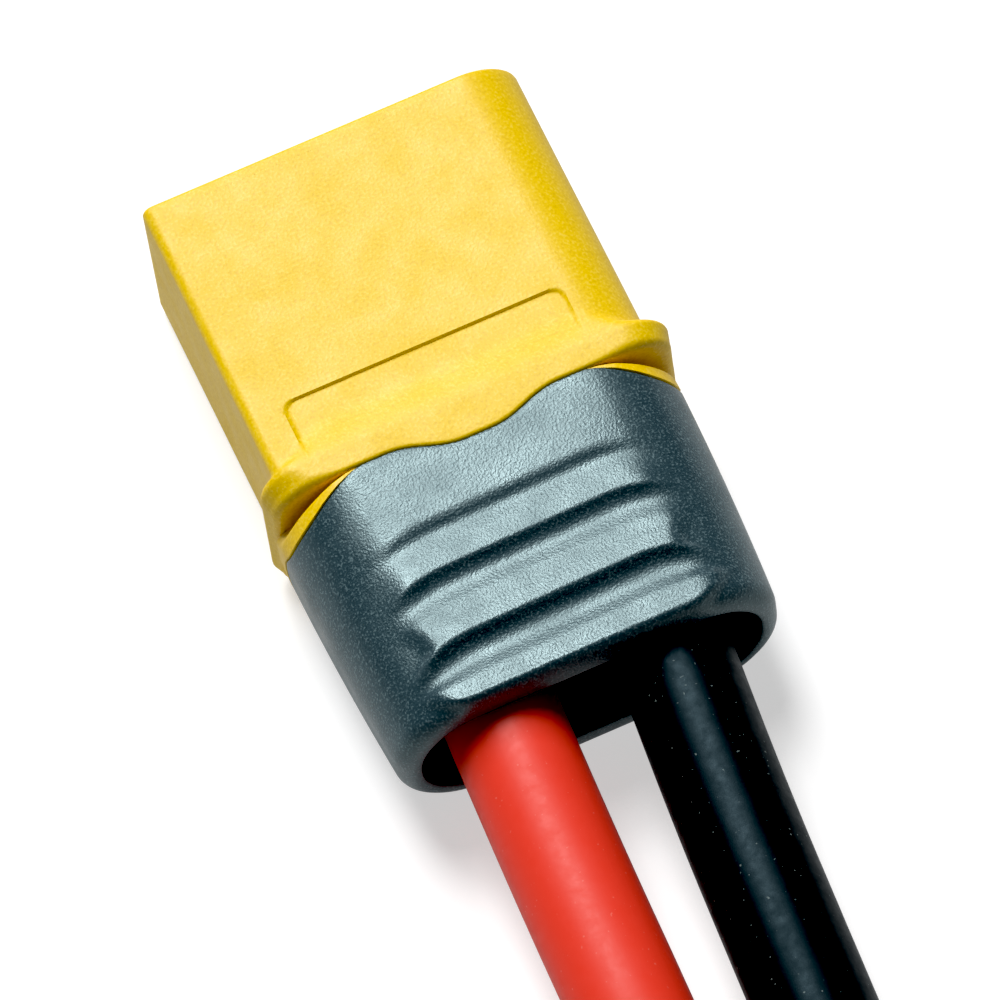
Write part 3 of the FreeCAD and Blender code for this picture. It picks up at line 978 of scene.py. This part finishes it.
@dataclass
class Lead:
    """One wire: a limp silicone sleeve on a free route, and its tinned strands, bare at the far end.

    Attributes:
        colour: Its colour's name, as the CAD nodes have it.
        finish: The sleeve's material.
        length: Real length of the sleeve; not used.
        route: The wire's route in metres, the same points as in the part's source.
        sleeve_radius, core_radius: Radius of the sleeve and of the strands' bundle.
        stub_front_y: Y at which the bundle starts, inside the solder cup.
        bare_length: Length of the bundle past the sleeve's end.
        strands: Strands that show round it; the real wire has many more, drawn coarser to show.
        lay_length: Length over which they turn once round it.
    """

    colour: str
    finish: Silicone
    length: float
    route: tuple[tuple[float, float, float], ...]
    sleeve_radius: float = 2.35
    core_radius: float = 1.3
    stub_front_y: float = -7.025
    bare_length: float = 5.0
    strands: int = 17
    lay_length: float = 14.0

    def sleeve(self) -> bpy.types.Object:
        """Make the sleeve as a smooth curve of one spline through the route."""
        curve = bpy.data.curves.new(f"{self.colour}_wire", "CURVE")
        curve.dimensions = "3D"
        spline = curve.splines.new("NURBS")
        spline.points.add(len(self.route) - 1)
        for point, place in zip(spline.points, self.route):
            point.co = (*place, 1.0)
        spline.order_u = 3
        spline.use_endpoint_u = True
        spline.resolution_u = 24
        curve.bevel_depth = self.sleeve_radius * MM
        curve.bevel_resolution = 14
        curve.use_fill_caps = True
        piece = bpy.data.objects.new(f"{self.colour}_wire", curve)
        bpy.context.scene.collection.objects.link(piece)
        piece.data.materials.append(self.finish.build())
        return piece

    def line(self, sleeve: bpy.types.Object) -> np.ndarray:
        """Points along the sleeve's own spline, in millimetres."""
        bare = sleeve.copy()
        bare.data = sleeve.data.copy()
        bare.data.bevel_depth = 0.0
        bpy.context.scene.collection.objects.link(bare)
        bpy.context.view_layer.update()
        mesh = bpy.data.meshes.new_from_object(bare.evaluated_get(bpy.context.evaluated_depsgraph_get()))
        points = np.array([v.co for v in mesh.vertices]) / MM
        bpy.data.meshes.remove(mesh)
        bpy.data.objects.remove(bare)
        return points

    def core(self, line: np.ndarray) -> bpy.types.Object:
        """Make the tinned strands: plain inside the sleeve, twisted and soldered together past its end.

        Args:
            line: Points along the wire's axis, in millimetres.

        Returns:
            The core's mesh object.
        """
        stub_end_y = line[0, 1] + 0.4
        stub = [np.array([line[0, 0], y, line[0, 2]]) for y in (self.stub_front_y, stub_end_y)]
        outward = line[-1] - line[-2]
        outward /= np.linalg.norm(outward)
        tip = [line[-1] + outward * reach for reach in np.linspace(0, self.bare_length, 46)[1:]]
        path = np.array([*stub, *line, *tip])
        travel = np.concatenate([[0], np.cumsum(np.linalg.norm(np.diff(path, axis=0), axis=1))])
        left = travel[-1] - travel
        strand_points, tip_round = 6, 0.5
        sides = strand_points * self.strands
        angle = np.arange(sides) * 2 * math.pi / sides
        rows = []
        across = np.array([1.0, 0.0, 0.0])
        for index, place in enumerate(path):
            ahead = path[min(index + 1, len(path) - 1)] - path[max(index - 1, 0)]
            ahead /= np.linalg.norm(ahead)
            across = across - ahead * (across @ ahead)
            across /= np.linalg.norm(across)
            up = np.cross(across, ahead)
            twist = 2 * math.pi * travel[index] / self.lay_length
            bead = np.abs(np.cos(self.strands / 2 * (angle - twist)))
            end = math.sqrt(max(0.0, 1 - (1 - min(left[index] / tip_round, 1.0)) ** 2))
            groove, tip = 0.9 + 0.1 * bead, 0.55 + 0.45 * end
            radius = self.core_radius * groove * tip
            over, beside = np.outer(radius * np.sin(angle), up), np.outer(radius * np.cos(angle), across)
            rows.append(place + beside + over)
        skin = RingSkin(f"{self.colour}_core")
        for row in rows:
            skin.add(row[:, 0], MOUTH_Y - row[:, 1], row[:, 2] - MIDDLE_Z)
        piece = skin.weave(Weave.CAPPED, smooth_deg=60.0)
        piece.data.materials.append(TINNED_STRAND.build())
        return piece

    def build(self) -> list[bpy.types.Object]:
        """Returns:
            The sleeve and the core.
        """
        sleeve = self.sleeve()
        core = self.core(self.line(sleeve))
        for piece, node, slot in (
            (sleeve, "insulation", f"{self.colour}_silicone"),
            (core, "conductor", "tinned_copper"),
        ):
            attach(piece, "plug")
            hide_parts(f"{self.colour}_{node}")
        return [sleeve, core]


@dataclass
class Contacts:
    """The turned contacts and their solder: CAD pieces whose shape is right, dressed in their metals.

    Attributes:
        nodes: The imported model's pieces by name.
    """

    nodes: dict[str, bpy.types.Object]

    def build(self) -> list[bpy.types.Object]:
        """Give each contact and its solder their material.

        Returns:
            The dressed CAD pieces.
        """
        gold = GOLD_PLATE.build()
        solder = SOLDER.build()
        dressed = []
        for pole in Pole:
            for part, material in (("contact", gold), ("solder", solder)):
                node = self.nodes[f"{pole.value}_{part}"]
                node.data.materials.clear()
                node.data.materials.append(material)
                dressed.append(node)
        return dressed


@dataclass
class Studio:
    """The table top, the soft light and the camera at the photograph's viewing angle.

    Attributes:
        aim: Point that the camera looks at.
        azimuth: Camera's direction round the connector, in degrees.
        elevation: Its height above the table, in degrees.
        roll: Its turn about its own axis, in degrees.
        distance: Its distance from the aim.
        lens: Focal length on a 36 mm sensor.
    """

    aim: tuple[float, float, float] = (0.32, -2.43, 2.72)
    azimuth: float = -15.93
    elevation: float = 62.98
    roll: float = -8.97
    distance: float = 500.0
    lens: float = 459.5

    def camera(self) -> None:
        """Place the camera."""
        azimuth, elevation, roll = (math.radians(a) for a in (self.azimuth, self.elevation, self.roll))
        back = Vector(
            (
                math.sin(azimuth) * math.cos(elevation),
                -math.cos(azimuth) * math.cos(elevation),
                math.sin(elevation),
            )
        )
        level = Vector((math.cos(azimuth), math.sin(azimuth), 0.0))
        right = math.cos(roll) * level + math.sin(roll) * back.cross(level)
        up = back.cross(right)
        place = (Vector(self.aim) + back * self.distance) * MM
        data = bpy.data.cameras.new("photo_camera")
        data.lens = self.lens
        data.sensor_width = 36.0
        data.clip_start = 0.01
        data.clip_end = 100.0
        camera = bpy.data.objects.new("photo_camera", data)
        camera.matrix_world = Matrix.Translation(place) @ Matrix((right, up, back)).transposed().to_4x4()
        bpy.context.scene.collection.objects.link(camera)
        bpy.context.scene.camera = camera

    def softbox(self, name: str, towards: tuple[float, float, float], width_deg: float, power: float) -> None:
        """Hang a round softbox far off, so that it lights the whole table top evenly.

        Args:
            name: Name of the light.
            towards: Direction from the connector to the light.
            width_deg: How wide the light looks from the connector.
            power: Light that falls on a surface facing it, in watts per square metre.
        """
        data = bpy.data.lights.new(name, "SUN")
        data.angle = math.radians(width_deg)
        data.energy = power
        light = bpy.data.objects.new(name, data)
        direction = Vector(towards).normalized()
        light.location = direction
        light.rotation_mode = "QUATERNION"
        light.rotation_quaternion = direction.to_track_quat("Z", "Y")
        bpy.context.scene.collection.objects.link(light)

    def floor(self) -> None:
        """Lay the table top: a plain white laminate sheet, lit up a little more where it is seen itself."""
        bpy.ops.object.select_all(action="DESELECT")
        bpy.ops.mesh.primitive_plane_add(size=60.0)
        sheet = bpy.context.object
        sheet.name = "table_top"
        material = bpy.data.materials.new("white_laminate")
        material.use_nodes = True
        tree = material.node_tree
        shader = tree.nodes["Principled BSDF"]
        seen = add_node(tree, "ShaderNodeLightPath").outputs["Is Camera Ray"]
        as_light, as_seen = 0.25, 0.55
        glow = mapped(tree, seen, (0.0, 1.0), (as_light, as_seen))
        tree.links.new(glow, shader.inputs["Emission Strength"])
        shader.inputs["Base Color"].default_value = linear("#BCBCBC")
        shader.inputs["Roughness"].default_value = 0.65
        shader.inputs["Emission Color"].default_value = linear("#FFFFFF")
        sheet.data.materials.append(material)

    def build(self) -> None:
        """Set up the camera, the table top, the lights and the white surroundings."""
        self.camera()
        self.floor()
        self.softbox("front_softbox", (-0.01, 0.64, 0.765), width_deg=28.0, power=2.05)
        self.softbox("top_softbox", (-0.02, 0.42, 0.9), width_deg=22.0, power=1.75)
        scene = bpy.context.scene
        world = bpy.data.worlds.new("white_room")
        world.use_nodes = True
        tree = world.node_tree
        tree.nodes.clear()
        seen = add_node(tree, "ShaderNodeLightPath").outputs["Is Camera Ray"]
        as_light, as_seen = 0.08, 1.0
        strength = mapped(tree, seen, (0.0, 1.0), (as_light, as_seen))
        background = add_node(
            tree, "ShaderNodeBackground", {"Color": linear("#FFFFFF"), "Strength": strength}
        )
        add_node(tree, "ShaderNodeOutputWorld", {"Surface": background.outputs["Background"]})
        scene.world = world
        scene.view_settings.view_transform = "Standard"
        scene.view_settings.look = "None"
        scene.view_settings.use_curve_mapping = True
        scene.view_settings.curve_mapping.black_level = (0.022, 0.022, 0.022)
        scene.view_settings.curve_mapping.update()


# The wires' routes in the frame's metres, from the boot to the sleeve's far end.
RED_ROUTE = (
    (-0.0036, -0.010825, 0.004225),
    (-0.004, -0.018, 0.004225),
    (-0.00425, -0.0275, 0.004105),
    (-0.00485, -0.0405, 0.00305),
    (-0.0064, -0.055, 0.0024),
    (-0.0096, -0.071, 0.00235),
    (-0.0114, -0.088, 0.00235),
    (-0.0109, -0.102, 0.00235),
)
BLACK_ROUTE = (
    (0.0036, -0.010825, 0.004225),
    (0.00288, -0.0175, 0.004225),
    (0.00227, -0.027, 0.004105),
    (0.00155, -0.041, 0.003),
    (0.0019, -0.0565, 0.0024),
    (0.0037, -0.073, 0.00235),
    (0.0069, -0.089, 0.00235),
    (0.0082, -0.1035, 0.00235),
)


def main() -> None:
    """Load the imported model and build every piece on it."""
    logging.basicConfig(level=logging.INFO, format="%(name)s: %(message)s")
    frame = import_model()
    Studio().build()
    made: list[bpy.types.Object] = []
    made += Lead("red", RED_SILICONE, length=91.7, route=RED_ROUTE).build()
    made += Lead("black", BLACK_SILICONE, length=93.2, route=BLACK_ROUTE).build()
    made.append(Housing().build())
    made.append(Boot().build())
    made += Contacts(frame["nodes"]).build()


if __name__ == "__main__":
    main()
